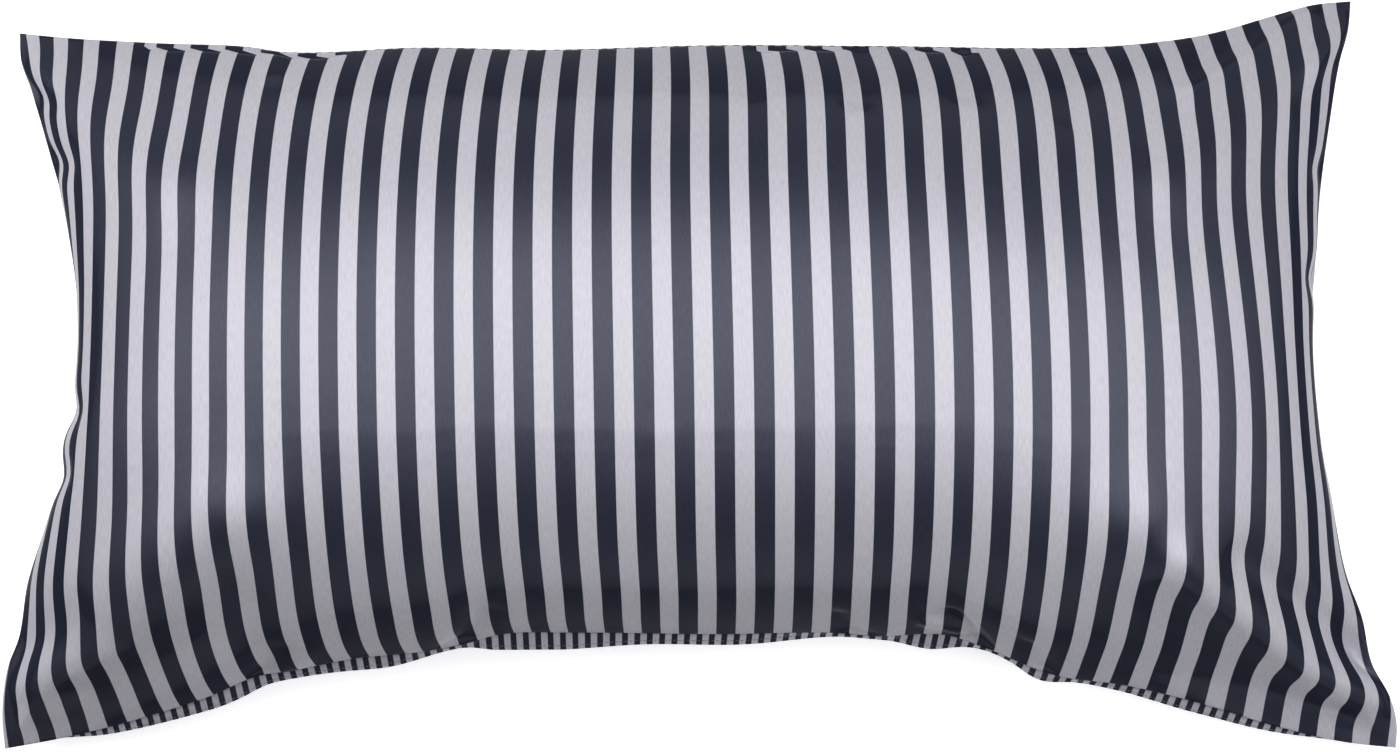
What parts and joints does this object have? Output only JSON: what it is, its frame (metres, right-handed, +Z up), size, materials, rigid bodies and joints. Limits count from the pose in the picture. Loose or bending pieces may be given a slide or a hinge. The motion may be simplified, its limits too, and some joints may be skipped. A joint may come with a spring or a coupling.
{
  "type": "pillowcase",
  "caption": "Filled sateen pillowcase with a striped front and a finely striped back whose hem shows as a narrow lip, lying on its back.",
  "frame": {"origin": "middle of the part's box, at floor level, on the flat contact patch under the pillowcase", "axes": "+X across the stripes, along the long side; +Y from the hem to the top seam; +Z up, out of the front panel"},
  "size_m": [0.7602, 0.4072, 0.1792],
  "materials": {
    "front_sateen": "satin, broad dark and pale stripes",
    "back_sateen": "satin, narrow dark and pale stripes"
  },
  "bodies": {
    "root": {"filled_case": "front_sateen", "back_panel": "back_sateen"}
  },
  "joints": []
}
